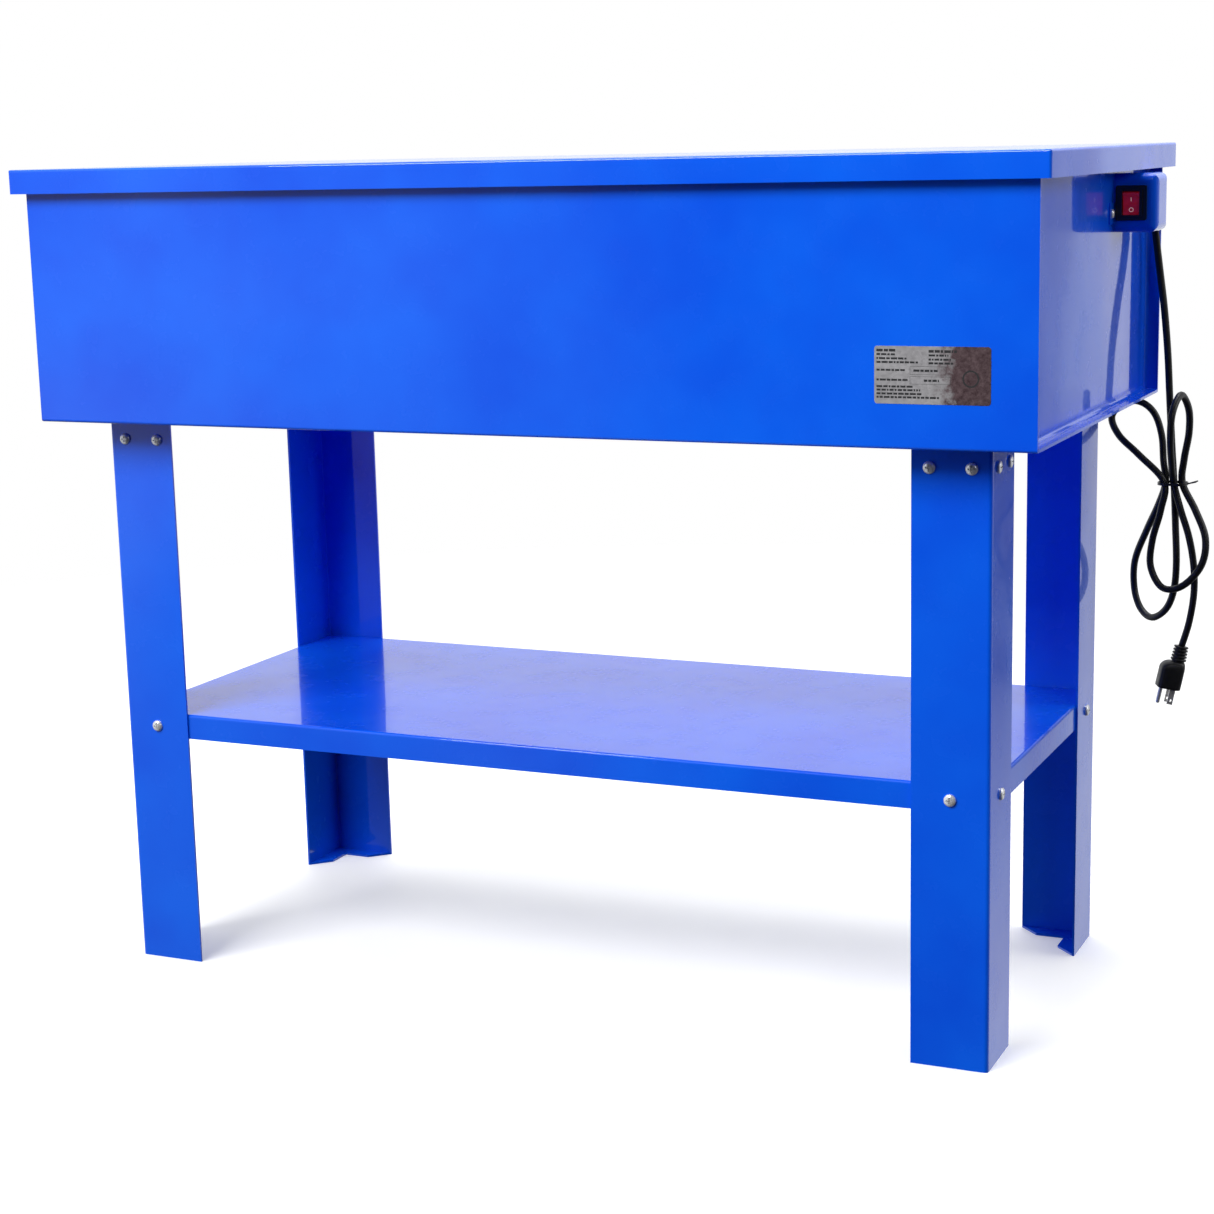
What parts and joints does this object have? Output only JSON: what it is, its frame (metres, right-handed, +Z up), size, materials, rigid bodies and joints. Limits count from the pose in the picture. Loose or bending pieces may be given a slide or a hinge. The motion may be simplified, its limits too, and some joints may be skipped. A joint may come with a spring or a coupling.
{
  "type": "parts washer tank",
  "caption": "Sheet-steel parts washer: tank with hinged lid, fusible-link stay, pump, swivel spout, lift-out work shelf, basket and drain, on angle legs with a lower shelf and a power cord.",
  "frame": {"origin": "on the floor under the middle of the machine's footprint, the cord left out", "axes": "+Z up, the front panel faces -Y, +X towards the end panel with the switch box, along the tank"},
  "size_m": [1.1999, 0.582, 0.9038],
  "materials": {
    "blue_paint": "gloss powder coat",
    "zinc_plate": "bright zinc plating",
    "black_rubber": "matt moulded rubber",
    "cord_rubber": "satin extruded jacket",
    "black_plastic": "fine moulded grain",
    "red_plastic": "gloss",
    "brass": "machined",
    "nickel_plate": "bright plating",
    "stainless": "brushed",
    "label_foil": "satin foil with printed panels"
  },
  "bodies": {
    "frame": {"tank_wrapper": "blue_paint", "end_panel_left": "blue_paint", "end_panel_right": "blue_paint", "leg_front_left": "blue_paint", "leg_front_right": "blue_paint", "leg_rear_left": "blue_paint", "leg_rear_right": "blue_paint", "leg_brackets": "blue_paint", "lower_shelf": "blue_paint", "leg_screws": "zinc_plate", "leg_nuts": "zinc_plate", "shelf_screws": "zinc_plate", "shelf_nuts": "zinc_plate", "lid_bumpers": "black_rubber", "hinge_left_tank_leaf": "zinc_plate", "hinge_left_pin": "zinc_plate", "hinge_right_tank_leaf": "zinc_plate", "hinge_right_pin": "zinc_plate", "hinge_tank_rivets": "zinc_plate", "stay_guide_stud": "zinc_plate", "switch_box": "blue_paint", "box_screws": "zinc_plate", "switch_bezel": "black_plastic", "switch_body": "black_plastic", "switch_terminals": "brass", "strain_relief": "black_rubber", "power_cord": "cord_rubber", "cord_tie": "black_plastic", "plug_body": "cord_rubber", "plug_blades": "nickel_plate", "plug_ground_pin": "nickel_plate", "pump_body": "black_plastic", "pump_inlet_grille": "black_plastic", "pump_feet": "black_rubber", "pump_outlet": "black_plastic", "pump_hose": "black_rubber", "pump_lead": "cord_rubber", "lead_grommet": "black_rubber", "spout_bracket": "blue_paint", "spout_base": "brass", "work_shelf_rails": "blue_paint", "drain_fitting": "brass", "drain_nut": "brass", "rating_label": "label_foil"},
    "lid": {"lid": "blue_paint", "hinge_left_lid_leaf": "zinc_plate", "hinge_right_lid_leaf": "zinc_plate", "hinge_lid_rivets": "zinc_plate", "stay_bracket": "blue_paint", "stay_pivot_pin": "zinc_plate"},
    "stay": {"fusible_link": "brass", "link_rivets": "zinc_plate", "stay_arm": "zinc_plate"},
    "rocker": {"switch_rocker": "red_plastic"},
    "spout": {"spout_neck": "stainless", "spout_nozzle": "brass"},
    "work_shelf": {"work_shelf": "blue_paint"},
    "basket": {"parts_basket": "stainless"},
    "bail": {"basket_handle": "stainless"},
    "drain_plug": {"drain_plug": "brass"}
  },
  "joints": [
    {"name": "lid_hinge", "type": "hinge", "parent": "frame", "child": "lid", "pos_m": [-0.0085, 0.2832, 0.8778], "axis": [-1, 0, 0], "range_deg": [0, 80]},
    {"name": "stay_pivot", "type": "hinge", "parent": "lid", "child": "stay", "pos_m": [0.524, 0.14367, 0.8893], "axis": [1, 0, 0], "range_deg": [0, 40]},
    {"name": "rocker_tilt", "type": "hinge", "parent": "frame", "child": "rocker", "pos_m": [0.5545, 0.1003, 0.8438], "axis": [-1, 0, 0], "range_deg": [0, 16]},
    {"name": "spout_swivel", "type": "hinge", "parent": "frame", "child": "spout", "pos_m": [0.4315, 0.2363, 0.812], "axis": [0, 0, 1], "range_deg": [0, 75]},
    {"name": "work_shelf_lift", "type": "slide", "parent": "frame", "child": "work_shelf", "axis": [0, 0, 1], "range_m": [0, 0.1]},
    {"name": "basket_lift", "type": "slide", "parent": "frame", "child": "basket", "axis": [0, 0, 1], "range_m": [0, 0.06]},
    {"name": "bail_hinge", "type": "hinge", "parent": "basket", "child": "bail", "pos_m": [0.2015, -0.0017, 0.7218], "axis": [0, -1, 0], "range_deg": [0, 90]},
    {"name": "drain_plug_out", "type": "slide", "parent": "frame", "child": "drain_plug", "axis": [0, 0, -1], "range_m": [0, 0.03]}
  ],
  "couplings": [
    {"joint": "stay_pivot", "follows": "lid_hinge", "ratio": 0.5}
  ]
}
